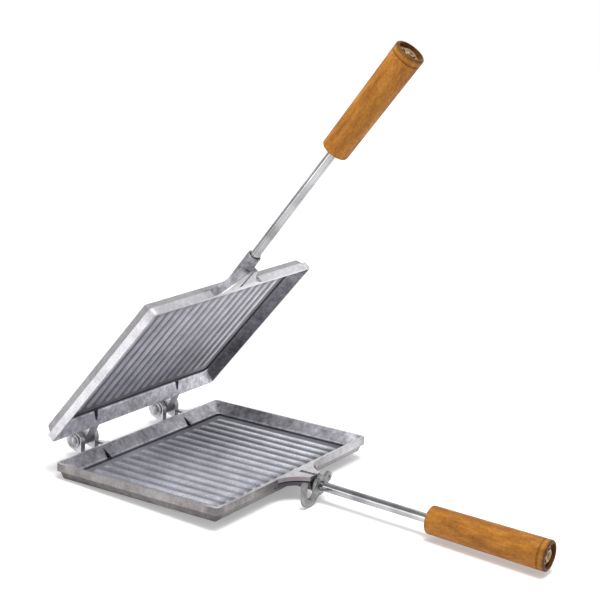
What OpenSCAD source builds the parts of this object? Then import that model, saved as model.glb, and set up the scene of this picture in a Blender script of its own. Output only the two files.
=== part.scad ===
// Stovetop sandwich maker: two hinged cast trays with ribbed floors, each on a steel rod
// with a turned wooden grip, and a swinging latch hook on the lower rod.
// Millimetres. The origin is the centre of the lower tray's underside, +Z up.
// The handles point towards -Y and the hinge lies at +Y.
// The model stands open, as the object is photographed.

/* [Trays] */
// width across the rim
tray_w = 235; // [200:1:260]
// length from the front rim to the hinge rim
tray_l = 162; // [140:1:190]
// height of one tray
tray_h = 14; // [12:0.5:18]
// depth from the rim down to the flat floor
cavity_d = 10; // [8:0.5:11]
// width of the flat top of the rim
rim_w = 2.2; // [1.8:0.1:3]
// height of the band round the rim
band_h = 7; // [5:0.5:8]
// how far the band stands out over the wall
band_out = 1.4; // [0.8:0.1:2]
// how far the outer wall leans in from the band to the underside
wall_lean = 3; // [2:0.1:4.2]
// distance from the outer rim to the foot of the inner wall
foot_in = 11.5; // [9:0.5:14]
// height of the small step at the foot of the inner wall
step_h = 1.8; // [1:0.1:2.5]
// how far that step leans
step_lean = 0.5; // [0.2:0.1:1]
// radius of the fillet where two inner walls meet
corner_r = 4.5; // [2:0.5:6]
// corner radius of the rim band
band_r = 4; // [3:0.5:5]
// corner radius of the wall below the band
wall_r = 6.5; // [6:0.5:8]
// chamfer along the rim and the underside
edge_c = 0.6; // [0.3:0.1:1]
// gap between the two rims when the trays are shut
shut_gap = 0.3; // [0.2:0.1:1]

/* [Floor ribs] */
// ribs on each floor
rib_count = 15; // [10:1:15]
// distance between neighbouring ribs
rib_pitch = 12.9; // [11.5:0.1:14]
// width of a rib where it meets the floor
rib_w = 7.4; // [6:0.1:9]
// height of a rib's crown above the floor
rib_h = 1.8; // [1:0.1:2.4]
// flat margin between a rib's end and the wall on the hinge side
rib_margin = 8; // [5:0.5:14]
// the same margin on the handle side
front_margin = 2; // [1:0.5:6]

/* [Necks] */
// radius of the round boss that holds the rod
boss_r = 6; // [5.6:0.05:6.4]
// length of the lower boss in front of the rim
lower_neck = 18; // [15:0.5:20]
// length of the upper boss in front of the rim
upper_neck = 33; // [32:0.5:40]
// length of the upper gusset, which stops short of the latch
upper_gusset = 20.5; // [17:0.5:21]
// radius of the lower gusset's hollow sides
lower_flare = 28; // [22:1:32]
// radius of the upper gusset's hollow sides
upper_flare = 34; // [28:1:40]
// thickness of both gussets, flush with the rim
gusset_t = 8; // [6:0.5:9]
// depth of the rod's axis under the rim at the end of the lower boss
axis_in = 7.9; // [7.6:0.1:8.4]
// slope of each rod away from the other tray
droop = 2.2; // [1.8:0.1:3]
// width of the shallow channel along the gusset
channel_w = 5; // [3:0.5:6]
// depth of that channel
channel_d = 0.9; // [0.5:0.1:1.2]
// depth of the recess in the boss's end, round the rod
mouth_d = 3; // [2:0.5:4]
// radius of that recess
mouth_r = 4.6; // [4.2:0.1:5]
// distance from the rim to the stop lug on the upper boss
lug_at = 28.5; // [28:0.5:30]
// length of the stop lug along the boss
lug_l = 3.4; // [2.6:0.2:4.2]
// how far the stop lug stands out of the boss
lug_out = 3.2; // [2:0.2:4]

/* [Hinges] */
// distance of each hinge's middle from the centre line
hinge_x = 59; // [50:1:70]
// distance of the hinge axis behind the rim
hinge_back = 18; // [18:0.5:22]
// height of the hinge axis above the lower rim
hinge_up = 3; // [2:0.5:4]
// thickness of one ear of the lower tray
ear_t = 5.5; // [4.5:0.5:7]
// radius of an ear round the axis
ear_r = 8; // [7:0.5:8.5]
// height of an ear's arm where it meets the wall
arm_h = 8; // [6:0.5:10]
// reach along the wall of the brace beside each right-hand ear
brace_w = 8; // [6:0.5:12]
// thickness of that brace
brace_t = 2.6; // [2:0.2:4]
// depth of its top under the rim
brace_in = 1.6; // [1:0.2:3]
// how far the brace runs back from the wall along the ear
brace_l = 15.4; // [10:0.2:16]
// width of the upper tray's knuckle
knuckle_w = 12.4; // [10:0.2:14]
// radius of the knuckle
knuckle_r = 6.5; // [6:0.5:7]
// gap between knuckle and ear on each side
side_gap = 0.4; // [0.2:0.1:0.6]
// how far the knuckle's arm stays inside the tray's height
arm_in = 2; // [1:0.5:4]
// radius of the hinge pin
pin_r = 2.5; // [2:0.1:3]
// radius of the pin's domed head
head_r = 4.8; // [4.2:0.1:5.5]
// height of the domed head
head_h = 1.9; // [1.4:0.1:2.6]
// radius of the riveted tail
tail_r = 3.9; // [3.4:0.1:4.5]
// height of the riveted tail
tail_h = 1.8; // [1:0.1:2.4]
// chamfer round the riveted tail
tail_c = 1.1; // [0.6:0.1:1.6]
// radius of the washer under the head
washer_r = 6.2; // [5.6:0.1:6.6]
// thickness of that washer
washer_t = 1.2; // [0.8:0.1:1.6]
// width of the notch in the inner wall at each hinge, at the floor
notch_w = 6.4; // [4:0.2:8]
// width of the notch at its top
notch_top = 1.6; // [1:0.2:3]
// height of the notch above the floor
notch_h = 8; // [6:0.5:8.5]
// how far the notch runs into the wall
notch_d = 6.4; // [4:0.2:7]

/* [Rods and grips] */
// radius of a rod
rod_r = 4; // [3.6:0.1:4.1]
// radius of its threaded outer end
thread_r = 3; // [2.6:0.1:3.4]
// length of rod held inside a boss
rod_in = 15; // [12:0.5:18]
// distance from the rim to the lower grip
lower_grip_at = 126; // [110:1:145]
// distance from the rim to the upper grip
upper_grip_at = 152; // [135:1:165]
// length of a grip
grip_len = 105; // [90:1:120]
// radius of a grip at its inner end
grip_r0 = 11.8; // [11:0.1:12]
// radius of a grip at its outer end
grip_r1 = 12.9; // [12.3:0.1:13.4]
// rounding of the grip's inner edge
grip_round = 2; // [1.5:0.5:4]
// rounding of the grip's outer edge
end_round = 1.6; // [1:0.1:2]
// distance of the turned groove from the outer end
groove_at = 6; // [5:0.5:10]
// radius of the groove's section
groove_r = 1; // [0.5:0.1:1.2]
// distance of that section's middle outside the wood
groove_out = 0.2; // [0:0.1:0.4]
// radius of the recess in the grip's outer end
well_r = 10.2; // [9.9:0.1:10.4]
// depth of that recess
well_d = 4.6; // [4.4:0.2:6]
// radius of the washer in the recess
disc_r = 9.7; // [8:0.1:9.8]
// thickness of the washer in the recess
disc_t = 1; // [0.8:0.1:1.2]
// width across the flats of the end nut
nut_af = 10; // [9:0.5:10.5]
// thickness of the end nut
nut_t = 2.4; // [2:0.2:2.6]
// length of rod that shows past the nut
rod_past = 0.6; // [0.2:0.1:0.6]

/* [Latch] */
// thickness of the lower rod's lock nut
lock_t = 3.6; // [3:0.2:4]
// width across its flats
lock_af = 13; // [11:0.5:13.5]
// gap between the lock nut and the hook
latch_gap = 0.3; // [0.2:0.1:0.6]
// thickness of the hook plate
hook_t = 2.8; // [2.2:0.2:3]
// radius of the hook's hub
hub_r = 8; // [7:0.1:9]
// clearance between the hook's slot and the upper boss
slot_gap = 0.35; // [0.3:0.05:0.5]
// width of the hook's outer prong
prong_w = 6.2; // [5:0.2:9]
// how far the prong's tip reaches past the boss's axis
prong_up = 11.5; // [8:0.5:13]
// thickness of the bowl under the slot
bowl_t = 7; // [6:0.2:10]
// how far the outline is drawn in between the bowl and the hub
waist = 1.5; // [0.5:0.1:2.5]
// distance from the rod's axis to the middle of the thumb ear
thumb_at = 12.4; // [12:0.2:13.6]
// angle from the hook's arm to the thumb ear
thumb_deg = 160; // [155:1:170]
// radius of the thumb ear
thumb_r = 4.4; // [3.6:0.2:4.8]
// radius of the small hole in the thumb ear
thumb_hole = 1.2; // [0.8:0.1:1.6]
// distance from the rod's axis to the tip of the short lobe
lobe_at = 10.1; // [9:0.1:10.2]
// radius of the short lobe
lobe_r = 3; // [2.4:0.2:3.6]
// angle from the hook's arm to the short lobe
lobe_deg = 84; // [80:1:100]
// width of the two stakes pressed out of the rod ahead of the hook
stake_w = 2.6; // [2:0.2:3]
// thickness of a stake across the rod
stake_t = 2; // [1.4:0.2:3]
// reach of a stake from the rod's axis
stake_r = 5.4; // [4.8:0.1:6]

/* [Fits and pose] */
// radial clearance where a piece turns on a shaft
run_clear = 0.06; // [0.03:0.01:0.1]
// radial clearance where a shaft is held fast
hold_clear = 0.02; // [0.01:0.01:0.05]
// angle between the two trays
open_deg = 52; // [0:1:165]
// angle of the hook below the level, on its open side
hook_deg = 5; // [0:1:60]

/* [Hidden] */
$fa = 4;
$fs = 0.5;
slot_w = 2*(boss_r + slot_gap);
floor_z = tray_h - cavity_d;
front_y = -tray_l/2;
back_y = tray_l/2;
axis_y = back_y + hinge_back;
axis_z = tray_h + hinge_up;
ear_x = knuckle_w/2 + side_gap;
ear_out = ear_x + ear_t;
hinge_at = [axis_y, axis_z];
wall_y = back_y - band_out - wall_lean;
rib_y0 = front_y + foot_in + front_margin;
rib_y1 = back_y - foot_in - rib_margin;
// the rib's crown is an arc over its width and height
rib_r = (rib_w*rib_w/4 + rib_h*rib_h)/(2*rib_h);
over = 1;
// chamfer on the end of a rod
tip_h = 0.6;
// how far the ends of the hook's lower side lie inside hub and bowl
root_in = 0.3;
// height of a nut's chamfer, as a share of the corners' overhang
bevel_share = 0.6;
// distances along a rod, measured from the end of the lower boss
hook_s = lock_t + latch_gap;
stake_s = hook_s + hook_t + latch_gap;
upper_s = upper_neck - lower_neck;
lower_grip_s = lower_grip_at - lower_neck;
upper_grip_s = upper_grip_at - lower_neck;
// distance between the two rods' axes where the hook holds them together
hook_reach = 2*(axis_in + (hook_s + hook_t/2)*sin(droop)) + shut_gap;
in_r = hook_reach - slot_w/2;
out_r = hook_reach + slot_w/2;

cast_col = [0.72, 0.72, 0.74];
dark_cast_col = [0.64, 0.64, 0.66];
steel_col = [0.80, 0.80, 0.80];
hook_col = [0.55, 0.56, 0.55];
nut_col = [0.70, 0.70, 0.68];
wood_col = [0.76, 0.51, 0.24];

// Tray

// one storey of the tray's outside: edges set in by i0 at z0 and by i1 at z1
module storey(z0, z1, i0, i1, r) {
    hw = tray_w/2;
    hl = tray_l/2;
    translate([0, hl - r, 0]) rotate([90, 0, 0]) linear_extrude(tray_l - 2*r)
        polygon([[i0 - hw, z0], [hw - i0, z0], [hw - i1, z1], [i1 - hw, z1]]);
    translate([r - hw, 0, 0]) rotate([90, 0, 90]) linear_extrude(tray_w - 2*r)
        polygon([[i0 - hl, z0], [hl - i0, z0], [hl - i1, z1], [i1 - hl, z1]]);
    for (sx = [-1, 1])
        for (sy = [-1, 1])
            translate([sx*(hw - r), sy*(hl - r), z0])
                cylinder(h = z1 - z0, r1 = r - i0, r2 = r - i1);
}

// the tray's outside: chamfered underside, leaning wall, rim band
module tray_outside() {
    top_in = band_out;
    low_in = band_out + wall_lean;
    step_in = top_in + wall_lean*(1 - edge_c/(tray_h - band_h));
    storey(0, edge_c, low_in + edge_c, step_in, wall_r);
    storey(edge_c, tray_h - band_h, step_in, top_in, wall_r);
    storey(tray_h - band_h, tray_h - edge_c, 0, 0, band_r);
    storey(tray_h - edge_c, tray_h, 0, edge_c, band_r);
}

// the hollow: four leaning inner walls with a small step at the foot, filleted where they meet
module tray_hollow() {
    difference() {
        intersection() {
            translate([0, tray_l, 0]) rotate([90, 0, 0]) linear_extrude(2*tray_l)
                hollow_section(tray_w/2);
            translate([-tray_w, 0, 0]) rotate([90, 0, 90]) linear_extrude(2*tray_w)
                hollow_section(tray_l/2);
        }
        for (sx = [0, 1])
            for (sy = [0, 1])
                mirror([sx, 0, 0]) mirror([0, sy, 0]) corner_fillet();
    }
}

module hollow_section(half) {
    polygon([[foot_in - half, floor_z], [half - foot_in, floor_z],
        [half - foot_in + step_lean, floor_z + step_h], [half - rim_w, tray_h],
        [half - rim_w, tray_h + over], [rim_w - half, tray_h + over],
        [rim_w - half, tray_h], [foot_in - step_lean - half, floor_z + step_h]]);
}

// The metal left in one corner: a prism along the line where two inner walls meet, less a
// cylinder that touches both walls.
module corner_fillet() {
    side = foot_in - step_lean - rim_w;
    rise = cavity_d - step_h;
    run = sqrt(2)*side;
    length = norm([run, rise]);
    // half the angle between the walls, seen along their common line
    half = atan(length/rise);
    reach = corner_r/tan(half);
    intersection() {
        translate([tray_w/2 - foot_in + step_lean, tray_l/2 - foot_in + step_lean, floor_z + step_h])
            rotate([0, 0, 45]) rotate([0, atan(run/rise), 0]) translate([0, 0, -2*over])
                linear_extrude(length + 2*over) difference() {
                    polygon([[over/2, 0], [-reach*cos(half), reach*sin(half)],
                        [-corner_r/sin(half), 0], [-reach*cos(half), -reach*sin(half)]]);
                    translate([-corner_r/sin(half), 0]) circle(r = corner_r);
                }
        translate([0, 0, floor_z + step_h - over]) cube([tray_w, tray_l, cavity_d]);
    }
}

// rounded ribs that run from the hinge side to the handle side
module floor_ribs() {
    intersection() {
        for (i = [0 : rib_count - 1])
            translate([(i - (rib_count - 1)/2)*rib_pitch, (rib_y0 + rib_y1)/2, floor_z + rib_h - rib_r])
                rib();
        translate([-tray_w/2, -tray_l/2, floor_z - over/2]) cube([tray_w, tray_l, tray_h]);
    }
}

module rib() {
    run = rib_y1 - rib_y0 - rib_w;
    rotate([90, 0, 0]) cylinder(h = run, r = rib_r, center = true);
    for (s = [-1, 1])
        translate([0, s*run/2, 0]) sphere(r = rib_r);
}

// the gusset's outline: hollow sides that run out into the boss
module gusset_outline(len, flare) {
    translate([0, front_y]) difference() {
        translate([-boss_r - flare, -len]) square([2*(boss_r + flare), len + rim_w + over]);
        for (s = [-1, 1])
            translate([s*(boss_r + flare), -flare]) circle(r = flare);
    }
}

// the frame of a rod: local +X stays, local +Z runs out along the rod, from the lower boss's end
module on_rod() {
    translate([0, front_y - lower_neck, tray_h - axis_in]) rotate([90 + droop, 0, 0]) children();
}

// gusset, boss and the solid metal that joins them to the tray
module neck_solid(len, gusset_len, flare) {
    translate([0, 0, tray_h - gusset_t]) linear_extrude(gusset_t)
        gusset_outline(gusset_len, flare);
    on_rod() translate([0, 0, -lower_neck - rim_w - over])
        cylinder(h = len + rim_w + over, r = boss_r);
}

// the channel on the gusset, the rod's bore and the recess in the boss's end
module neck_cuts(len, gusset_len) {
    translate([-channel_w/2, front_y - gusset_len - over, tray_h - channel_d])
        cube([channel_w, gusset_len - rim_w, channel_d + over]);
    on_rod() {
        translate([0, 0, len - lower_neck - rod_in]) cylinder(h = rod_in + over, r = rod_r + hold_clear);
        translate([0, 0, len - lower_neck - mouth_d]) cylinder(h = mouth_d + over, r = mouth_r);
    }
}

// the tapered notch in the inner wall in front of each hinge
module hinge_notch() {
    for (s = [-1, 1])
        translate([s*hinge_x, back_y - foot_in + notch_d, 0]) rotate([90, 0, 0])
            linear_extrude(notch_d + over)
                polygon([[-notch_w/2, floor_z], [notch_w/2, floor_z],
                    [notch_top/2, floor_z + notch_h], [-notch_top/2, floor_z + notch_h]]);
}

// Hinge

// extrude a Y-Z outline to a thickness along X, starting at x0
module along_x(x0, t) {
    translate([x0, 0, 0]) rotate([90, 0, 90]) linear_extrude(t) children();
}

// where a line from point p touches a circle, on its left (s = 1) or right (s = -1) seen from the circle
function touch(p, c, r, s) =
    let (a = atan2(p[1] - c[1], p[0] - c[0]) + s*acos(r/norm(p - c)))
    c + r*[cos(a), sin(a)];

// a round ear on an arm that runs in under the rim band
module ear_outline() {
    root = [wall_y, 2*edge_c];
    translate(hinge_at) circle(r = ear_r);
    polygon([hinge_at, [axis_y - ear_r, axis_z], [axis_y - ear_r, arm_h], [wall_y, arm_h],
        root, touch(root, hinge_at, ear_r, 1)]);
}

// a flat three-cornered brace between the wall and the ear on the right of a hinge
module brace() {
    translate([0, 0, tray_h - brace_in - brace_t]) linear_extrude(brace_t)
        polygon([[ear_out - over, back_y - over], [ear_out + brace_w, back_y - over],
            [ear_out, back_y + brace_l], [ear_out - over, back_y + brace_l]]);
}

module ears() {
    for (s = [-1, 1]) translate([s*hinge_x, 0, 0]) {
        along_x(-ear_out, ear_t) ear_outline();
        along_x(ear_x, ear_t) ear_outline();
        brace();
    }
}

// the knuckle and its arm, drawn in the lower tray's frame with the trays shut
module knuckle() {
    low = [wall_y, tray_h + shut_gap + arm_in];
    high = [wall_y, 2*tray_h + shut_gap - arm_in];
    for (s = [-1, 1])
        translate([s*hinge_x, 0, 0]) along_x(-knuckle_w/2, knuckle_w) {
            translate(hinge_at) circle(r = knuckle_r);
            polygon([low, touch(low, hinge_at, knuckle_r, 1), hinge_at,
                touch(high, hinge_at, knuckle_r, -1), high]);
        }
}

module pin_bore(r, reach) {
    for (s = [-1, 1])
        translate([s*hinge_x - reach, axis_y, axis_z]) rotate([0, 90, 0])
            cylinder(h = 2*reach, r = r);
}

// Poses

// stand a shut upper piece open about the hinge axis
module opened() {
    translate([0, axis_y, axis_z]) rotate([-open_deg, 0, 0]) translate([0, -axis_y, -axis_z])
        children();
}

// turn a piece drawn like the lower tray into the shut upper one
module over_lower() {
    translate([0, 0, 2*tray_h + shut_gap]) mirror([0, 0, 1]) children();
}

// Trays with necks and hinge parts

module lower_plate() {
    color(cast_col) union() {
        difference() {
            union() {
                tray_outside();
                neck_solid(lower_neck, lower_neck, lower_flare);
                ears();
            }
            tray_hollow();
            hinge_notch();
            neck_cuts(lower_neck, lower_neck);
            pin_bore(pin_r + hold_clear, ear_out + over);
        }
        floor_ribs();
    }
}

module upper_plate() {
    color(dark_cast_col) opened() difference() {
        union() {
            over_lower() union() {
                difference() {
                    union() {
                        tray_outside();
                        neck_solid(upper_neck, upper_gusset, upper_flare);
                        stop_lug();
                    }
                    tray_hollow();
                    hinge_notch();
                    neck_cuts(upper_neck, upper_gusset);
                }
                floor_ribs();
            }
            knuckle();
        }
        pin_bore(pin_r + run_clear, knuckle_w/2 + over);
    }
}

// a flat lug on the side of the upper boss, ahead of where the hook grips
module stop_lug() {
    on_rod() translate([0, 0, lug_at - lower_neck]) rotate([0, 90, 0]) linear_extrude(boss_r + lug_out)
        translate([-lug_l, -lug_l/2]) square([lug_l, lug_l]);
}

// Hinge pins

// a pin along X: domed head and washer on the left, riveted tail on the right
module hinge_pin(s) {
    dome_r = (head_r*head_r + head_h*head_h)/(2*head_h);
    color(steel_col) translate([s*hinge_x, axis_y, axis_z]) rotate([0, 90, 0]) {
        translate([0, 0, -ear_out - washer_t]) cylinder(h = 2*ear_out + washer_t, r = pin_r);
        intersection() {
            translate([0, 0, -ear_out - washer_t - head_h + dome_r]) sphere(r = dome_r);
            translate([0, 0, -ear_out - washer_t - head_h]) cylinder(h = head_h, r = head_r);
        }
        translate([0, 0, ear_out]) cylinder(h = tail_h/2, r = tail_r);
        translate([0, 0, ear_out + tail_h/2]) cylinder(h = tail_h/2, r1 = tail_r, r2 = tail_r - tail_c);
    }
}

module hinge_washer(s) {
    color(nut_col) translate([s*hinge_x - ear_out, axis_y, axis_z]) rotate([0, -90, 0])
        flat_washer(washer_r, pin_r + hold_clear, washer_t);
}

module flat_washer(r, hole, t) {
    difference() {
        cylinder(h = t, r = r);
        translate([0, 0, -over]) cylinder(h = t + 2*over, r = hole);
    }
}

// Rods, grips and their fastenings, drawn along +Z from the lower boss's end

module rod(start, grip_s) {
    shoulder = grip_s + grip_len - well_d;
    stop = shoulder + disc_t + nut_t + rod_past;
    translate([0, 0, start]) cylinder(h = shoulder - start, r = rod_r);
    translate([0, 0, shoulder - over]) cylinder(h = stop - tip_h - shoulder + over, r = thread_r);
    translate([0, 0, stop - tip_h]) cylinder(h = tip_h, r1 = thread_r, r2 = thread_r - tip_h);
}

// two stakes pressed out of the rod keep the hook from sliding forward
module stakes() {
    intersection() {
        translate([0, 0, stake_s + stake_w/2]) rotate([90, 0, 0])
            cylinder(h = stake_t, r = stake_r, center = true);
        translate([-stake_r, -stake_r, stake_s]) cube([2*stake_r, 2*stake_r, stake_w]);
    }
}

module lower_rod() {
    color(steel_col) on_rod() union() {
        rod(-rod_in, lower_grip_s);
        stakes();
    }
}

module upper_rod() {
    color(steel_col) opened() over_lower() on_rod() rod(upper_s - rod_in, upper_grip_s);
}

// the turned grip: half its section, spun about the rod's axis
module grip(grip_s) {
    difference() {
        translate([0, 0, grip_s]) rotate_extrude() difference() {
            grip_section();
            translate([grip_r1 + groove_out, grip_len - groove_at]) circle(r = groove_r);
        }
        translate([0, 0, grip_s - over]) cylinder(h = grip_len + 2*over, r = rod_r + hold_clear);
        translate([0, 0, grip_s + grip_len - well_d]) cylinder(h = well_d + over, r = well_r);
    }
}

module grip_section() {
    polygon([[0, 0], [grip_r0 - grip_round, 0], [grip_r0, grip_round],
        [grip_r1, grip_len - end_round], [grip_r1 - end_round, grip_len], [0, grip_len]]);
    translate([grip_r0 - grip_round, grip_round]) circle(r = grip_round);
    translate([grip_r1 - end_round, grip_len - end_round]) circle(r = end_round);
}

module lower_grip() {
    color(wood_col) on_rod() grip(lower_grip_s);
}

module upper_grip() {
    color(wood_col) opened() over_lower() on_rod() grip(upper_grip_s);
}

module end_washer(grip_s) {
    translate([0, 0, grip_s + grip_len - well_d]) flat_washer(disc_r, thread_r + hold_clear, disc_t);
}

// a hexagon nut with both rims chamfered
module hex_nut(t, af, hole) {
    corner = af/2/cos(30);
    slope = bevel_share*(corner - af/2);
    difference() {
        intersection() {
            cylinder(h = t, r = corner, $fn = 6);
            union() {
                cylinder(h = slope, r1 = af/2, r2 = corner);
                translate([0, 0, slope]) cylinder(h = t - 2*slope, r = corner);
                translate([0, 0, t - slope]) cylinder(h = slope, r1 = corner, r2 = af/2);
            }
        }
        translate([0, 0, -over]) cylinder(h = t + 2*over, r = hole);
    }
}

module end_nut(grip_s) {
    translate([0, 0, grip_s + grip_len - well_d + disc_t]) hex_nut(nut_t, nut_af, thread_r + hold_clear);
}

module lower_end_washer() {
    color(nut_col) on_rod() end_washer(lower_grip_s);
}

module upper_end_washer() {
    color(nut_col) opened() over_lower() on_rod() end_washer(upper_grip_s);
}

module lower_end_nut() {
    color(nut_col) on_rod() end_nut(lower_grip_s);
}

module upper_end_nut() {
    color(nut_col) opened() over_lower() on_rod() end_nut(upper_grip_s);
}

module lock_nut() {
    color(nut_col) on_rod() hex_nut(lock_t, lock_af, rod_r + hold_clear);
}

// Latch hook

// The plate's outline with the rod at the origin. +X points at the held boss,
// +Y is the way the slot opens.
module hook_outline() {
    mid = (in_r + out_r)/2;
    bowl_r = (slot_w + prong_w + bowl_t)/2;
    bowl_at = [out_r + prong_w - bowl_r, bowl_r - slot_w/2 - bowl_t];
    tip_r = prong_w/2;
    // the outline's lower side: a line along the tangent of hub and bowl, drawn in to an arc
    side = atan2(bowl_at[1], bowl_at[0]) - 90 - asin((bowl_r - hub_r)/norm(bowl_at));
    down = [cos(side), sin(side)];
    from = (hub_r - root_in)*down;
    to = bowl_at + (bowl_r - root_in)*down;
    waist_r = (norm(to - from)*norm(to - from)/4 + waist*waist)/(2*waist);
    difference() {
        union() {
            circle(r = hub_r);
            translate(bowl_at) circle(r = bowl_r);
            difference() {
                polygon([[0, 0], from, to, bowl_at]);
                translate((from + to)/2 + (waist_r - waist)*down) circle(r = waist_r);
            }
            // prong with a round tip
            translate([out_r, bowl_at[1]]) square([prong_w, prong_up - tip_r - bowl_at[1]]);
            translate([out_r + tip_r, prong_up - tip_r]) circle(r = tip_r);
            // thumb ear, on the far side from the hook, and a short lobe between them
            spoke(thumb_deg, thumb_at, thumb_r);
            spoke(lobe_deg, lobe_at - lobe_r, lobe_r);
        }
        circle(r = rod_r + run_clear);
        rotate(thumb_deg) translate([thumb_at, 0]) circle(r = thumb_hole);
        // slot: round bottom, straight outer side, inner side curved round the rod
        translate([mid, 0]) circle(r = slot_w/2);
        difference() {
            square([out_r, out_r + prong_up]);
            circle(r = in_r);
        }
    }
}

// a round-ended arm from the rod's axis
module spoke(deg, at, r) {
    rotate(deg) {
        translate([at, 0]) circle(r = r);
        translate([0, -r]) square([at, 2*r]);
    }
}

module latch_hook() {
    color(hook_col) on_rod() translate([0, 0, hook_s]) rotate(180 + hook_deg)
        mirror([0, 1, 0]) linear_extrude(hook_t) hook_outline();
}

lower_plate();
upper_plate();
hinge_pin(-1);  // hinge_pin_left
hinge_pin(1);  // hinge_pin_right
hinge_washer(-1);  // hinge_washer_left
hinge_washer(1);  // hinge_washer_right
lower_rod();
upper_rod();
lock_nut();
latch_hook();
lower_grip();
upper_grip();
lower_end_washer();
upper_end_washer();
lower_end_nut();
upper_end_nut();
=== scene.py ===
"""Looks of a stovetop sandwich maker on its fixed frame, laid out as a Blender add-on."""

import math

import bmesh
import bpy
from mathutils import Matrix, Vector


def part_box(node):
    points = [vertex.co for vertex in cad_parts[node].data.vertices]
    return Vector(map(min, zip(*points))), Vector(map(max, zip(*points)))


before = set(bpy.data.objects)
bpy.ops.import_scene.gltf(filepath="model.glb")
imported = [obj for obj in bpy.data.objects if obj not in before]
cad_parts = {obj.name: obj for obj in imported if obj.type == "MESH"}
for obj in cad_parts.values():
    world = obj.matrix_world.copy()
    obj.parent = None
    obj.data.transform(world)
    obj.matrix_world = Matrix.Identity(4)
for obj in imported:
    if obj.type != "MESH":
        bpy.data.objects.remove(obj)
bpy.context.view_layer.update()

bl_info = {
    "name": "Stovetop Sandwich Maker",
    "version": (1, 0, 0),
    "blender": (4, 5, 0),
    "location": "View3D > Sidebar > Sandwich Maker",
    "description": "Finishes and studio for a hinged sandwich maker",
    "category": "Object",
}

MM = 0.001
# Places on the frame in millimetres: X across the trays, Y back to the hinge, Z up.
HINGE_Y, HINGE_Z = 99.0, 17.0
# how far the upper tray stands open, and the rods' slope below the trays
OPEN_DEG, DROOP_DEG = 52.0, 2.2
# where the lower rod's axis leaves its boss
ROD_Y, ROD_Z = -99.0, 6.1
# top of the shut maker; there the upper half mirrors the lower
SHUT_TOP = 28.3
# the trays' floor; foot of the inner walls from the middle; run of the walls
FLOOR_Z = 4.0
FOOT_X, FOOT_Y = 106.0, 69.5
WALL_RUN = 9.3
# heights above the floor: top of the rim, underside of the rim band, crowns of the ribs
RIM_HEIGHT, BAND_FOOT, RIB_HEIGHT = 10.0, 3.0, 1.8
# the trays' front and back faces from the middle
TRAY_Y = 81.0
# the grips' outer ends along their rods; before these, the turned groove and the well's floor
LOWER_GRIP_END, UPPER_GRIP_END = 213.0, 239.0
GROOVE_AT, WELL_DEPTH = 6.0, 5.0
WELL_RADIUS = 10.3


# Helpers


def linear(hex_colour):
    """Turns an sRGB hex colour into the linear colour that a shader takes."""
    parts = [int(hex_colour[i:i + 2], 16) / 255 for i in (0, 2, 4)]
    return tuple(c / 12.92 if c <= 0.04045 else ((c + 0.055) / 1.055) ** 2.4 for c in parts) + (1.0,)


def new_tree(owner):
    """Empties the node tree of a material or the world and returns the function that adds to it."""
    owner.use_nodes = True
    tree = owner.node_tree
    tree.nodes.clear()

    def node(kind, *inputs, out=0, named=None, **settings):
        """Adds a node with its settings and returns one of its outputs. A second word of the kind
        is its operation, and for Mix its data type. Inputs come in the order in which the node
        shows them, None to pass one over, or by name. A socket is linked and a value is set. The
        output is chosen by its place or name."""
        kind, _, mode = kind.partition(" ")
        made = tree.nodes.new("ShaderNode" + kind)
        if mode:
            settings["data_type" if kind == "Mix" else "operation"] = mode
        for name, value in settings.items():
            setattr(made, name, value)
        shown = [socket for socket in made.inputs if socket.enabled]
        pairs = list(zip(shown, inputs)) + [(made.inputs[name], v) for name, v in (named or {}).items()]
        for socket, value in pairs:
            if isinstance(value, bpy.types.NodeSocket):
                tree.links.new(value, socket)
            elif value is not None:
                socket.default_value = value
        if isinstance(out, str):
            return made.outputs[out]
        results = [socket for socket in made.outputs if socket.enabled]
        return results[out] if results else None

    return node


def opened(y, z):
    """Where a point of the shut upper half lies with the maker open."""
    turn = math.radians(OPEN_DEG)
    dy, dz = y - HINGE_Y, z - HINGE_Z
    return (HINGE_Y + dy * math.cos(turn) + dz * math.sin(turn),
            HINGE_Z - dy * math.sin(turn) + dz * math.cos(turn))


def in_millimetres(node, place=(0.0, 0.0), turn_deg=0.0):
    """Object coordinates in millimetres, in a piece's own frame: at a place (y, z), turned about X."""
    turned = node("Mapping", node("TexCoord", out="Object"), (0.0, place[0] * MM, place[1] * MM),
                  (math.radians(turn_deg), 0.0, 0.0), vector_type="TEXTURE")
    return node("VectorMath MULTIPLY", turned, (1 / MM,) * 3)


def lower_rod_frame(node):
    """Millimetres with Z along the lower rod, from the end of the lower boss."""
    return in_millimetres(node, (ROD_Y, ROD_Z), 90 + DROOP_DEG)


def upper_rod_frame(node):
    """The same along the upper rod."""
    return in_millimetres(node, opened(ROD_Y, SHUT_TOP - ROD_Z), 90 - DROOP_DEG - OPEN_DEG)


def dress(names, material):
    """Gives CAD nodes their material."""
    for name in names:
        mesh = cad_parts[name].data
        mesh.materials.clear()
        mesh.materials.append(material)
        for face in mesh.polygons:
            face.material_index = 0


def seen_ray(node):
    """1 for rays that show a surface: from the camera, mirrored or passed through; else 0."""
    path = node("LightPath").node.outputs
    shown = node("Math MAXIMUM", path["Is Camera Ray"], path["Is Glossy Ray"])
    return node("Math MAXIMUM", shown, path["Is Transmission Ray"])


# Materials


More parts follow.
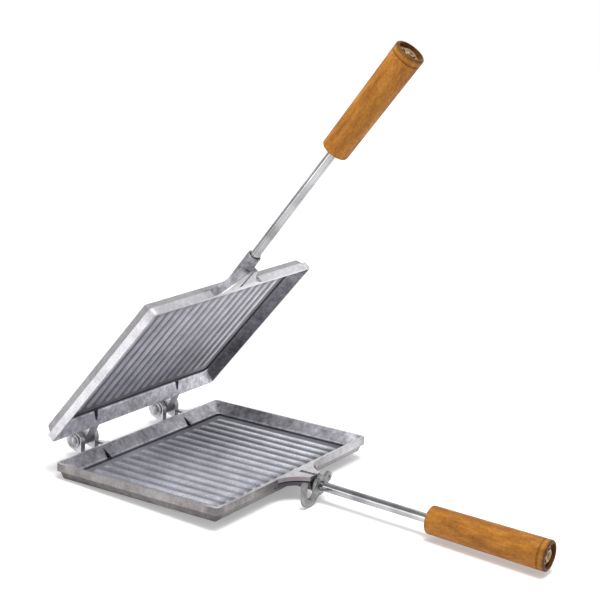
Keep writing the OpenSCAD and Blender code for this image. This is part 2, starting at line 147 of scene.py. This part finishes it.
class TrayFinish:
    """The colours and roughness of one tray, place by place. Lengths are in millimetres, in the
    frame of the shut maker."""

    def __init__(self, node, finish, upper):
        self.node, self.finish, self.upper = node, finish, upper
        if upper:
            turned = in_millimetres(node, (HINGE_Y, HINGE_Z), -OPEN_DEG)
            self.spot = node("VectorMath ADD", turned, (0.0, HINGE_Y, HINGE_Z))
        else:
            self.spot = in_millimetres(node)
        self.x, self.y, self.z = node("SeparateXYZ", self.spot).node.outputs
        self.measure()
        self.patterns()
        self.places()

    def measure(self):
        """Height above the floor, and the way past the foot of the inner walls."""
        node = self.node
        if self.upper:
            self.height = node("Math SUBTRACT", SHUT_TOP - FLOOR_Z, self.z)
        else:
            self.height = node("Math SUBTRACT", self.z, FLOOR_Z)
        past_x = node("Math SUBTRACT", node("Math ABSOLUTE", self.x), FOOT_X)
        past_y = node("Math SUBTRACT", node("Math ABSOLUTE", self.y), FOOT_Y)
        self.past = node("Math MAXIMUM", past_x, past_y)
        self.into_corner = node("Math MINIMUM", past_x, past_y)
        # below 0 on the hinge and front walls, above 0 on the side walls
        self.beside = node("Math SUBTRACT", past_x, past_y)

    def patterns(self):
        """Casting mottle: clouds, patches and a grain, with scattered pits about 7 mm apart."""
        node, finish = self.node, self.finish
        self.clouds = node("TexNoise", self.spot, 1 / finish.cloud_mm, 4.0, 0.6)
        self.patches = node("TexNoise", self.spot, 1 / finish.patch_mm, 3.0, 0.6)
        self.grain = node("TexNoise", self.spot, 1 / finish.grain_mm, 3.0, 0.6)
        off_pit = node("TexVoronoi", self.spot, 1 / 7)
        self.pits = node("Math MULTIPLY", node("MapRange", off_pit, 0.05, 0.11, 1.0, 0.0),
                         node("MapRange", self.patches, 0.5, 0.6))
        both = node("Math ADD", node("Math MULTIPLY", self.clouds, 0.5),
                    node("Math MULTIPLY", self.patches, 0.5))
        self.mottle = node("MapRange", both, 0.36, 0.64)

    def places(self):
        """Where the cavity and the sides of the neck are, as 0 or 1."""
        node = self.node
        # the cavity ends at the rim's inner edge and, lower down, halfway through the wall
        mid_wall = node("Math ADD", node("Math MULTIPLY", self.height, 1.15), 2.7)
        inside = node("Math LESS_THAN", self.past, node("Math MINIMUM", mid_wall, WALL_RUN - 0.1))
        self.in_cavity = node("Math MULTIPLY", inside, node("Math GREATER_THAN", self.height, -0.4))
        # the neck's sides, below its flat top and below the floor of the 5.6 mm channel in that
        in_channel = node("Math LESS_THAN", node("Math ABSOLUTE", self.x), 2.8)
        top = node("Math SUBTRACT", RIM_HEIGHT - 0.3, node("Math MULTIPLY", in_channel, 1.4))
        self.on_neck_side = node("Math MULTIPLY", node("Math LESS_THAN", self.y, -TRAY_Y - 0.3),
                                 node("Math LESS_THAN", self.height, top))

    def mottled(self, dark, light):
        """From one hex colour in the mottle's hollows to another on its clouds."""
        return self.node("Mix RGBA", self.mottle, linear(dark), linear(light))

    def outside(self):
        """Bright satin skin, with painted shade under the bands, a painted shadow line below them and
        painted shade round the hinge.
        """
        node, finish = self.node, self.finish
        colour = self.mottled(finish.cast_dark, finish.cast_light)
        if not self.upper:
            # browned by the flame, but not on the rim's top and the lugs, and less at the right
            on_rim = node("MapRange", self.height, RIM_HEIGHT - 0.7, RIM_HEIGHT - 0.3)
            clean = node("Math MAXIMUM", on_rim, node("Math GREATER_THAN", self.y, TRAY_Y + 1))
            clean = node("Math MAXIMUM", clean, node("MapRange", self.x, 10.0, 90.0, 0.0, 0.7))
            colour = node("Mix RGBA", clean, self.mottled(finish.burnt_dark, finish.burnt_light), colour)
        # painted shade on the leaning wall under the band, and a painted shadow line where the two meet
        lean_shade_tone = node("MapRange", self.height, BAND_FOOT - 0.5, BAND_FOOT - 0.2, finish.lean_shade, 1.0)
        off_line = node("Math ABSOLUTE", node("Math SUBTRACT", self.height, BAND_FOOT - 0.3))
        line = node("MapRange", off_line, 0.2, 0.6, 0.45, 1.0)
        # painted shade round the hinge, most of all on the knuckles between the ears
        dy = node("Math POWER", node("Math SUBTRACT", self.y, HINGE_Y), 2.0)
        dz = node("Math POWER", node("Math SUBTRACT", self.z, HINGE_Z), 2.0)
        off_axis = node("Math POWER", node("Math ADD", dy, dz), 0.5)
        hinge_shade = node("MapRange", off_axis, 6.0, 11.0, 0.32 if self.upper else 0.7, 1.0)
        tones = [lean_shade_tone, line, hinge_shade]
        if self.upper:
            # the long neck is darker, and the front has a painted highlight towards the right
            neck_darker = node("MapRange", self.y, -TRAY_Y - 7, -TRAY_Y - 1, 0.72, 1.0)
            front_highlight = node("Math MULTIPLY", node("MapRange", self.y, 1 - TRAY_Y, 3 - TRAY_Y, 0.18, 0.0),
                          node("MapRange", self.x, 10.0, 60.0))
            tones += [neck_darker, node("Math ADD", 1.0, front_highlight)]
        for tone in tones:
            colour = node("VectorMath SCALE", colour, tone)
        return node("Mix RGBA", self.on_neck_side, colour, self.shaded_neck_side())

    def shaded_neck_side(self):
        """The neck's sides as cast, in painted shade: on the lower one a painted highlight along the rounded
        edge band, a painted shadow line and dull purple grey below."""
        node, finish = self.node, self.finish
        if self.upper:
            # painted shade: the upper neck's sides darker than its walls
            return node("VectorMath SCALE", self.mottled(finish.wall_dark, finish.wall_light), 0.8)
        # painted highlight on the edge band over the painted shade of the sides, then a painted shadow line
        colour = node("Mix RGBA", node("MapRange", self.height, 5.9, 6.3), linear(finish.flank_shaded),
                      linear(finish.flank_edge_lit))
        off_line = node("Math ABSOLUTE", node("Math SUBTRACT", self.height, 5.6))
        return node("VectorMath SCALE", colour, node("MapRange", off_line, 0.35, 0.7, 0.2, 1.0))

    def walls(self):
        """The cavity's walls, duller than the rim. The hinge walls are lighter to the right as a painted
        highlight, the lower side walls lighter to the front, and the upper tray's right wall is darker as
        painted shade."""
        node = self.node
        # painted highlight: the hinge walls lighter towards their right corners, a little darker at the left
        at_hinge = node("Math MULTIPLY", node("MapRange", self.beside, -6.0, 2.0, 1.0, 0.0),
                        node("Math GREATER_THAN", self.y, 0.0))
        tone = node("Math MULTIPLY", at_hinge, node("MapRange", self.x, -90.0, 70.0, -0.08, 0.27))
        tone = node("Math ADD", tone, 1.0)
        if self.upper:
            # painted shade: the upper tray's right wall darker
            right_wall_shade = node("Math MULTIPLY", node("MapRange", self.beside, -1.0, 0.5, 0.0, self.finish.right_wall_shade),
                        node("Math GREATER_THAN", self.x, 0.0))
            tone = node("Math MULTIPLY", tone, node("Math SUBTRACT", 1.0, right_wall_shade))
            tone = node("Math MULTIPLY", tone, 1.18)
        else:
            # the lower side walls lighter to the front
            beside = node("Math SUBTRACT", 1.0, at_hinge)
            front_lighter = node("Math MULTIPLY", beside, node("MapRange", self.y, -65.0, 0.0, 0.2, 0.0))
            tone = node("Math ADD", tone, front_lighter)
        return node("VectorMath SCALE", self.mottled(self.finish.wall_dark, self.finish.wall_light), tone)

    def ribs(self):
        """The ribbed floor: painted highlights on the crowns, painted shade between them and under the front
        rim.
        """
        node, finish = self.node, self.finish
        level = node("Math ADD", self.height, node("Math MULTIPLY", self.patches, 0.5))
        # painted highlights on the crowns and painted shade between them
        crown = node("MapRange", level, 0.35, RIB_HEIGHT)
        if self.upper:
            colour = node("Mix RGBA", crown, linear(finish.upper_groove), linear(finish.upper_crest))
            # darker to the left
            tone = node("MapRange", self.x, -105.0, -10.0, 0.7, 1.0)
        else:
            colour = node("Mix RGBA", crown, linear(finish.lower_groove), linear(finish.lower_crest))
            # painted shade between them, deeper to the right
            between = node("Math SUBTRACT", 1.0, crown)
            groove_shade = node("Math MULTIPLY", between, node("MapRange", self.x, -30.0, 60.0, 0.0, 0.5))
            tone = node("Math SUBTRACT", 1.0, groove_shade)
        # random clouds, and painted shade on the floor under the front rim
        for more in (node("MapRange", self.clouds, 0.35, 0.65, 0.86, 1.16),
                     node("MapRange", self.y, 4 - FOOT_Y, 13 - FOOT_Y, 0.45, 1.0)):
            tone = node("Math MULTIPLY", tone, more)
        return node("VectorMath SCALE", colour, tone)

    def wear(self):
        """Grain, pits, a painted shadow line round the floor, a painted highlight on the step above it,
        painted highlights in the pale corners.
        """
        node = self.node
        # the painted shadow line is about 1.5 mm wide, and wider in places
        wander = node("Math MULTIPLY", node("Math SUBTRACT", self.patches, 0.5), 2.5)
        off_line = node("Math ABSOLUTE", node("Math ADD", self.past, 0.6))
        line = node("MapRange", off_line, 0.5, node("Math ADD", 1.6, wander), self.finish.foot_shade, 0.0)
        line = node("Math MULTIPLY", line, node("Math LESS_THAN", self.height, 1.0))
        line = node("Math MULTIPLY", line, self.in_cavity)
        foot_shade_and_pits = node("Math MAXIMUM", line, node("Math MULTIPLY", self.pits, 0.5))
        # painted highlight along the edge of the step above the floor
        off_step = node("Math ABSOLUTE", node("Math SUBTRACT", self.height, 1.9))
        step_highlight = node("Math MULTIPLY", node("MapRange", off_step, 0.15, 0.6, 0.5, 0.0),
                    node("Math GREATER_THAN", self.past, 0.1))
        step_highlight = node("Math MULTIPLY", step_highlight, self.in_cavity)
        # painted highlights in the cavity's corners
        pale = node("MapRange", self.into_corner, -12.0, 2.0, 0.0, 0.45)
        pale = node("Math MULTIPLY", pale, self.in_cavity)
        tone = node("MapRange", self.grain, 0.3, 0.7, 0.8, 1.14)
        for more in (node("Math SUBTRACT", 1.0, foot_shade_and_pits), node("Math ADD", 1.0, step_highlight),
                     node("Math ADD", 1.0, pale)):
            tone = node("Math MULTIPLY", tone, more)
        return tone

    def colour(self):
        """All of these put together."""
        node = self.node
        colour = node("Mix RGBA", self.in_cavity, self.outside(), self.walls())
        on_floor = node("Math MULTIPLY", self.in_cavity, node("MapRange", self.past, -0.1, 0.4, 1.0, 0.0))
        colour = node("Mix RGBA", on_floor, colour, self.ribs())
        return node("VectorMath SCALE", colour, self.wear())

    def roughness(self):
        """Satin, rougher in the cavity, in its corners and on the neck's sides."""
        node = self.node
        corner = node("MapRange", self.into_corner, -0.5, 3.0)
        rough = node("Math ADD", node("MapRange", self.grain, 0.3, 0.7, -0.04, 0.08), self.finish.cast_rough)
        rough = node("Math ADD", rough, node("Math MULTIPLY", self.in_cavity, 0.12))
        as_cast = node("Math MULTIPLY", node("Math MAXIMUM", self.on_neck_side, corner), 0.3)
        return node("Math ADD", rough, as_cast)


def cast_aluminium(name, finish, upper):
    """Sand-cast aluminium, tumbled and used: satin and bright on the rims and outside, duller on the inner
    walls, ribs with painted highlights on their crowns and painted shade between, a painted shadow round the
    walls' foot."""
    made = bpy.data.materials.new(name)
    node = new_tree(made)
    tray = TrayFinish(node, finish, upper)
    # cast skin: shallow waves the size of the patches, and the grain
    skin = node("Bump", named={"Height": tray.patches, "Distance": 0.3 * MM})
    skin = node("Bump", named={"Height": tray.grain, "Distance": 0.1 * MM, "Normal": skin})
    node("OutputMaterial", node("BsdfPrincipled", named={
        "Base Color": tray.colour(), "Metallic": 1.0, "Roughness": tray.roughness(), "Normal": skin}))
    return made


def bright_steel(name, frame_of, hex_light, hex_dark, rough, grip_end):
    """Drawn and plated steel: smooth and cool, with faint scratches along its length that break the
    highlight, dull and brown at the end in the grip's well."""
    made = bpy.data.materials.new(name)
    node = new_tree(made)
    spot = frame_of(node)
    # drawing marks 0.6 mm wide and 25 mm long
    marks_at = node("VectorMath MULTIPLY", spot, (1 / 0.6, 1 / 0.6, 1 / 25))
    marks = node("TexNoise", marks_at, 1.0, 2.0)
    haze = node("TexNoise", spot, 1 / 30, 2.0)
    colour = node("Mix RGBA", node("MapRange", haze, 0.36, 0.62), linear(hex_dark), linear(hex_light))
    colour = node("VectorMath SCALE", colour, node("MapRange", marks, 0.3, 0.7, 0.84, 1.06))
    in_well = node("Math GREATER_THAN", node("SeparateXYZ", spot, out=2), grip_end - WELL_DEPTH)
    rough_here = node("Math ADD", node("MapRange", haze, 0.3, 0.7, rough + 0.06, rough - 0.02),
                      node("Math MULTIPLY", in_well, 0.35))
    node("OutputMaterial", node("BsdfPrincipled", named={
        "Base Color": node("Mix RGBA", in_well, colour, linear("8A7254")),
        "Metallic": 1.0,
        "Roughness": rough_here,
        "Normal": node("Bump", named={"Height": marks, "Distance": 0.03 * MM})}))
    return made


def stamped_steel(name, hex_light, hex_dark, rough):
    """Mild steel, stamped and dull plated: matt, with 5 mm patches and a fine pressed grain."""
    made = bpy.data.materials.new(name)
    node = new_tree(made)
    spot = in_millimetres(node)
    haze = node("TexNoise", spot, 1 / 5, 5.0, 0.65)
    grain = node("TexNoise", spot, 1 / 0.7, 3.0)
    skin = node("Bump", named={"Height": haze, "Distance": 0.12 * MM})
    skin = node("Bump", named={"Height": grain, "Distance": 0.06 * MM, "Normal": skin})
    colour = node("Mix RGBA", node("MapRange", haze, 0.32, 0.68), linear(hex_dark), linear(hex_light))
    node("OutputMaterial", node("BsdfPrincipled", named={
        "Base Color": colour,
        "Metallic": 1.0,
        "Roughness": node("MapRange", haze, 0.3, 0.7, rough + 0.08, rough - 0.04),
        "Normal": skin}))
    return made


def varnished_wood(name, finish, frame_of, grip_end, seed, shade):
    """Turned hardwood under clear varnish: orange brown with fine dark speckle and soft figure along the
    grip, darker in the turned groove and round the outer edge, with painted shade in the end's well."""
    made = bpy.data.materials.new(name)
    node = new_tree(made)
    spot = frame_of(node)
    # each grip is cut from another place in the wood
    cut = node("VectorMath ADD", spot, (seed * 17.0, seed * 31.0, seed * 47.0))
    # soft figure 6 mm wide and 24 mm long
    figure = node("TexNoise", node("VectorMath MULTIPLY", cut, (1 / 6, 1 / 6, 1 / 24)), 1.0, 4.0, 0.6)
    colour = node("Mix RGBA", node("MapRange", figure, 0.32, 0.5), linear(finish.wood_dark),
                  linear(finish.wood_mid))
    colour = node("Mix RGBA", node("MapRange", figure, 0.5, 0.7), colour, linear(finish.wood_light))
    # speckle: dark pores and pale flecks 0.9 mm wide and 2.5 mm long
    fleck = node("TexNoise", node("VectorMath MULTIPLY", cut, (1 / 0.9, 1 / 0.9, 1 / 2.5)), 1.0, 3.0, 0.6)
    # darker in the groove and round the outer edge, and painted shade in the well
    along = node("SeparateXYZ", spot, out=2)
    off_groove = node("Math ABSOLUTE", node("Math SUBTRACT", along, grip_end - GROOVE_AT))
    groove = node("MapRange", off_groove, 0.4, 1.1, 0.3, 0.0)
    edge = node("MapRange", along, grip_end - 2.8, grip_end - 0.4, 0.0, 0.75)
    off_middle = node("VectorMath LENGTH", node("VectorMath MULTIPLY", spot, (1.0, 1.0, 0.0)))
    well = node("Math MULTIPLY", node("MapRange", off_middle, WELL_RADIUS, WELL_RADIUS + 0.5, 0.6, 0.0),
                node("Math GREATER_THAN", along, grip_end - WELL_DEPTH))
    dark = node("Math MAXIMUM", node("Math MAXIMUM", groove, edge), well)
    # painted light and shade: the lower grip made darker and the upper lighter as a whole
    tone = node("Math MULTIPLY", node("MapRange", fleck, 0.32, 0.68, 0.72 * shade, 1.22 * shade),
                node("Math SUBTRACT", 1.0, dark))
    node("OutputMaterial", node("BsdfPrincipled", named={
        "Base Color": node("VectorMath SCALE", colour, tone),
        "IOR": 1.5,
        "Specular IOR Level": 0.25,
        "Coat Weight": 0.08,
        "Coat Roughness": 0.28,
        "Roughness": node("MapRange", figure, 0.3, 0.7, 0.6, 0.45),
        "Normal": node("Bump", named={"Height": fleck, "Distance": 0.14 * MM})}))
    return made


# Settings


def hex_setting(name, description, default):
    return bpy.props.StringProperty(name=name, description="sRGB hex of " + description, default=default)


def share_setting(name, description, default):
    return bpy.props.FloatProperty(
        name=name, description=description, default=default, min=0.0, max=1.0, subtype="FACTOR")


def pattern_setting(name, description, default):
    return bpy.props.FloatProperty(
        name=name, description=description + ", in millimetres", default=default, min=0.2, max=100.0)


class MakerFinish(bpy.types.PropertyGroup):
    """Colours and surface qualities of the object's own finishes."""

    cast_light: hex_setting("Cast light", "the bright clouds outside and on the rims", "DDDCE0")
    cast_dark: hex_setting("Cast dark", "the dull clouds there", "C0BEC2")
    burnt_light: hex_setting("Burnt light", "the bright clouds of the lower tray's outside", "A09B9B")
    burnt_dark: hex_setting("Burnt dark", "the dull clouds there", "787475")
    # painted shade on the leaning walls under the bands
    lean_shade: share_setting("Lean tone", "Brightness of the leaning walls under the bands", 0.6)
    wall_light: hex_setting("Wall light", "the bright clouds of the inner walls", "D0CFD6")
    wall_dark: hex_setting("Wall dark", "the dull clouds of the inner walls", "848389")
    lower_crest: hex_setting("Lower crest", "the lower ribs' crowns", "EFF0F6")
    lower_groove: hex_setting("Lower groove", "the lower floor between the ribs", "BEC0CA")
    upper_crest: hex_setting("Upper crest", "the upper ribs' crowns", "DAD8DD")
    upper_groove: hex_setting("Upper groove", "the upper floor between the ribs", "9A989F")
    # painted light and shade of the lower neck's sides
    flank_edge_lit: hex_setting("Flank edge", "the edge band along the lower neck's sides", "B0A6AA")
    flank_shaded: hex_setting("Flank", "the lower neck's sides below it", "6E6872")
    cast_rough: share_setting("Cast roughness", "Mean roughness of the castings", 0.36)
    # painted shadow line round the floor
    foot_shade: share_setting("Foot shade", "How dark the line round the floor is", 0.8)
    # painted shade on the upper tray's right wall
    right_wall_shade: share_setting("Right wall shade", "How much darker the upper tray's right wall is", 0.6)
    cloud_mm: pattern_setting("Clouds", "Size of the castings' clouds", 24.0)
    patch_mm: pattern_setting("Patches", "Size of their patches", 5.0)
    grain_mm: pattern_setting("Grain", "Size of their grain", 1.2)
    rod_light: hex_setting("Rod light", "the rods' clean metal", "BDBDBF")
    rod_dark: hex_setting("Rod dark", "the rods' dull haze", "8F8F91")
    hook_light: hex_setting("Hook light", "the hook's bright clouds", "A2A3A2")
    hook_dark: hex_setting("Hook dark", "the hook's dull clouds", "747676")
    wood_light: hex_setting("Wood light", "the wood's light figure", "C0802C")
    wood_mid: hex_setting("Wood middle", "the wood between", "A86A1A")
    wood_dark: hex_setting("Wood dark", "the wood's dark figure", "905610")
    # painted shade on the lower grip and painted light on the upper grip
    lower_shade: bpy.props.FloatProperty(
        name="Lower grip", description="Brightness of the lower grip", default=0.93, min=0.5, max=1.5)
    upper_shade: bpy.props.FloatProperty(
        name="Upper grip", description="Brightness of the upper grip", default=1.06, min=0.5, max=1.5)


class MakerStudio(bpy.types.PropertyGroup):
    """The camera, the floor and the lamps."""

    lens: bpy.props.FloatProperty(
        name="Lens", description="Focal length on a 36 mm sensor", default=104.23, min=20.0, max=300.0,
        subtype="DISTANCE_CAMERA")
    distance: bpy.props.FloatProperty(
        name="Distance", description="From the camera to its target", default=1.439, min=0.3, max=5.0,
        unit="LENGTH")
    target: bpy.props.FloatVectorProperty(
        name="Target", description="The point in the middle of the picture",
        default=(0.0175, -0.0634, 0.1538), subtype="XYZ", unit="LENGTH")
    azimuth: bpy.props.FloatProperty(
        name="Azimuth", description="Camera's bearing round the object",
        default=math.radians(-59.229), unit="ROTATION")
    elevation: bpy.props.FloatProperty(
        name="Elevation", description="Camera's height above the horizon",
        default=math.radians(13.854), unit="ROTATION")
    roll: bpy.props.FloatProperty(
        name="Roll", description="Camera's turn about its own axis",
        default=math.radians(3.506), unit="ROTATION")
    floor_colour: hex_setting("Floor colour", "the floor", "F2F2F2")
    floor_lift: share_setting("Floor lift", "Added brightness where the floor is seen", 0.3)
    room_dark: share_setting("Room dark", "The room behind the camera at the horizon", 0.35)
    room_light: share_setting("Room light", "The same overhead", 0.4)
    key_power: bpy.props.FloatProperty(
        name="Key power", description="Power of the large overhead lamp", default=32.0, min=0.0,
        max=500.0, unit="POWER")
    side_share: share_setting("Side share", "Power of the side lamp as a share of the key's", 0.24)
    world_strength: bpy.props.FloatProperty(
        name="Fill", description="Strength of the light from all round", default=0.5, min=0.0, max=3.0)


# Operators


class MAKER_OT_castings(bpy.types.Operator):
    """Finish both trays"""

    bl_idname = "maker.castings"
    bl_label = "Trays"

    def execute(self, context):
        finish = context.scene.maker_finish
        dress(["lower_plate"], cast_aluminium("cast_aluminium_lower", finish, False))
        dress(["upper_plate"], cast_aluminium("cast_aluminium_upper", finish, True))
        return {"FINISHED"}


class MAKER_OT_steel(bpy.types.Operator):
    """Finish the rods, pins, washers, nuts and the hook"""

    bl_idname = "maker.steel"
    bl_label = "Steel pieces"

    def execute(self, context):
        finish = context.scene.maker_finish
        tones = (finish.rod_light, finish.rod_dark, 0.16)
        dress(["lower_rod"], bright_steel("plated_rod_lower", lower_rod_frame, *tones, LOWER_GRIP_END))
        dress(["upper_rod"], bright_steel("plated_rod_upper", upper_rod_frame, *tones, UPPER_GRIP_END))
        dress(["hinge_pin_left", "hinge_pin_right", "hinge_washer_left", "hinge_washer_right"],
              stamped_steel("dull_rivet_steel", "C6C6C8", "727276", 0.36))
        dress(["lower_end_washer", "upper_end_washer"],
              stamped_steel("yellow_zinc_washer", "D8BE9A", "B4977A", 0.55))
        dress(["lower_end_nut", "upper_end_nut"], stamped_steel("yellow_zinc_nut", "B89E7A", "8E7658", 0.5))
        # painted shade: the lock nut black where the gap beside the boss lies in deep shade
        dress(["lock_nut"], stamped_steel("lock_nut_painted_shade", "3A3A3C", "1E1E20", 0.5))
        dress(["latch_hook"], stamped_steel("stamped_hook_steel", finish.hook_light, finish.hook_dark, 0.44))
        return {"FINISHED"}


class MAKER_OT_grips(bpy.types.Operator):
    """Finish the two turned grips"""

    bl_idname = "maker.grips"
    bl_label = "Grips"

    def execute(self, context):
        finish = context.scene.maker_finish
        for name, frame_of, grip_end, seed, shade in (
                ("lower", lower_rod_frame, LOWER_GRIP_END, 1, finish.lower_shade),
                ("upper", upper_rod_frame, UPPER_GRIP_END, 2, finish.upper_shade)):
            wood = varnished_wood("varnished_wood_" + name, finish, frame_of, grip_end, seed, shade)
            dress([name + "_grip"], wood)
        return {"FINISHED"}


class MAKER_OT_studio(bpy.types.Operator):
    """Build the floor, the lamps, the room light and the camera"""

    bl_idname = "maker.studio"
    bl_label = "Studio"

    def execute(self, context):
        studio = context.scene.maker_studio
        self.floor(context, studio)
        self.lamps(context, studio)
        self.room(context, studio)
        self.camera(context, studio)
        context.scene.view_settings.view_transform = "Standard"
        return {"FINISHED"}

    def floor(self, context, studio):
        """A pale floor 3 m in radius that touches the tray's back edge and the hook's bowl."""
        back_y, back_z, clearance = 0.0766, 0.0, 0.0002
        hook_low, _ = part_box("latch_hook")
        tilt = math.atan2(back_z - hook_low.z, back_y - hook_low.y)
        bm = bmesh.new()
        bmesh.ops.create_circle(bm, cap_ends=True, radius=3.0, segments=96)
        bmesh.ops.rotate(bm, cent=(0, 0, 0), matrix=Matrix.Rotation(tilt, 3, "X"), verts=bm.verts)
        bmesh.ops.translate(bm, vec=(0, back_y, back_z - clearance), verts=bm.verts)
        mesh = bpy.data.meshes.new("studio_floor")
        bm.to_mesh(mesh)
        bm.free()
        piece = bpy.data.objects.new("studio_floor", mesh)
        context.scene.collection.objects.link(piece)
        mesh.materials.append(self.floor_paint(studio))

    def floor_paint(self, studio):
        """Matt pale paint. Where it is seen, directly or mirrored, it is lifted towards white,
        and it is plain white from about a metre out, so that it meets the backdrop unseen."""
        made = bpy.data.materials.new("studio_floor_paint")
        node = new_tree(made)
        spot = in_millimetres(node)
        # cloudiness of 80 mm, too faint to read as a pattern
        cloud = node("TexNoise", spot, 1 / 80, 2.0)
        paint = node("VectorMath SCALE", linear(studio.floor_colour)[:3],
                     node("MapRange", cloud, 0.3, 0.7, 0.99, 1.0))
        far = node("MapRange", node("VectorMath LENGTH", spot), 330.0, 900.0)
        seen = seen_ray(node)
        lift = node("Math MULTIPLY", seen, node("Math ADD", studio.floor_lift, far))
        kept = node("Math SUBTRACT", 1.0, node("Math MULTIPLY", seen, far))
        matt = node("MixShader", kept, None, node("BsdfDiffuse", paint))
        glow = node("Emission", (1.0, 1.0, 1.0, 1.0), lift)
        node("OutputMaterial", node("AddShader", matt, glow))
        return made

    def lamps(self, context, studio):
        """A large soft lamp overhead and in front, and a weaker one at the left."""
        aim = Vector((0, -0.05, 0.08))
        for name, place, size, power in (
                ("lamp_over", (-0.4, -0.5, 1.85), 1.0, studio.key_power),
                ("lamp_side", (-1.5, 0.75, 0.35), 1.2, studio.key_power * studio.side_share)):
            light = bpy.data.lights.new(name, "AREA")
            light.shape = "DISK"
            light.size = size
            light.energy = power
            lamp = bpy.data.objects.new(name, light)
            context.scene.collection.objects.link(lamp)
            lamp.location = place
            lamp.rotation_mode = "QUATERNION"
            lamp.rotation_quaternion = (Vector(place) - aim).to_track_quat("Z", "Y")

    def room(self, context, studio):
        """White all round for the camera. The metal mirrors a white backdrop behind the object
        and a grey room in front of it, a little lighter overhead."""
        world = bpy.data.worlds.new("studio_room")
        node = new_tree(world)
        way = node("TexCoord", out="Generated")
        to_backdrop = (-math.sin(studio.azimuth), math.cos(studio.azimuth), 0.0)
        ahead = node("VectorMath DOT_PRODUCT", way, to_backdrop)
        upward = node("SeparateXYZ", way, out=2)
        behind = node("MapRange", upward, 0.0, 0.8, studio.room_dark, studio.room_light)
        # the backdrop ends overhead, so the rods' upper sides mirror a dark ceiling
        backdrop = node("Math MULTIPLY", node("MapRange", ahead, -0.1, 0.5),
                        node("MapRange", upward, 0.76, 0.92, 1.0, 0.05))
        # the camera itself sees white all round
        backdrop = node("Math MAXIMUM", backdrop, node("LightPath", out="Is Camera Ray"))
        mirrored = node("Background", node("Mix", backdrop, behind, 1.0), 1.0)
        # what lights matt surfaces: even, a little stronger overhead
        even = node("Background", node("MapRange", upward, -0.4, 0.9, 0.45, 1.0), studio.world_strength)
        node("OutputWorld", node("MixShader", seen_ray(node), even, mirrored))
        context.scene.world = world

    def camera(self, context, studio):
        """A camera at the photograph's viewing angle, turned about its own axis as well."""
        data = bpy.data.cameras.new("photo_camera")
        data.sensor_width = 36.0
        data.lens = studio.lens
        data.clip_start, data.clip_end = 0.05, 50.0
        az, el = studio.azimuth, studio.elevation
        back = Vector((math.sin(az) * math.cos(el), -math.cos(az) * math.cos(el), math.sin(el)))
        right = Vector((math.cos(az), math.sin(az), 0.0))
        level = Matrix((right, back.cross(right), back)).transposed()
        turn = level @ Matrix.Rotation(studio.roll, 3, "Z")
        place = Vector(studio.target) + back * studio.distance
        camera = bpy.data.objects.new("photo_camera", data)
        context.scene.collection.objects.link(camera)
        camera.matrix_world = Matrix.Translation(place) @ turn.to_4x4()
        context.scene.camera = camera


class MAKER_PT_sidebar(bpy.types.Panel):
    """Lists the object's operators and settings"""

    bl_idname = "MAKER_PT_sidebar"
    bl_label = "Sandwich Maker"
    bl_space_type = "VIEW_3D"
    bl_region_type = "UI"
    bl_category = "Sandwich Maker"

    def draw(self, context):
        for operator in OPERATORS:
            self.layout.operator(operator.bl_idname)
        for group in (context.scene.maker_finish, context.scene.maker_studio):
            box = self.layout.box()
            for name in group.__annotations__:
                box.prop(group, name)


GROUPS = (MakerFinish, MakerStudio)
OPERATORS = (MAKER_OT_castings, MAKER_OT_steel, MAKER_OT_grips, MAKER_OT_studio)


def register():
    for item in GROUPS + OPERATORS + (MAKER_PT_sidebar,):
        bpy.utils.register_class(item)
    bpy.types.Scene.maker_finish = bpy.props.PointerProperty(type=MakerFinish)
    bpy.types.Scene.maker_studio = bpy.props.PointerProperty(type=MakerStudio)


def unregister():
    del bpy.types.Scene.maker_studio
    del bpy.types.Scene.maker_finish
    for item in reversed(GROUPS + OPERATORS + (MAKER_PT_sidebar,)):
        bpy.utils.unregister_class(item)


def main():
    register()
    bpy.ops.maker.castings()
    bpy.ops.maker.steel()
    bpy.ops.maker.grips()
    bpy.ops.maker.studio()


if __name__ == "__main__":
    main()
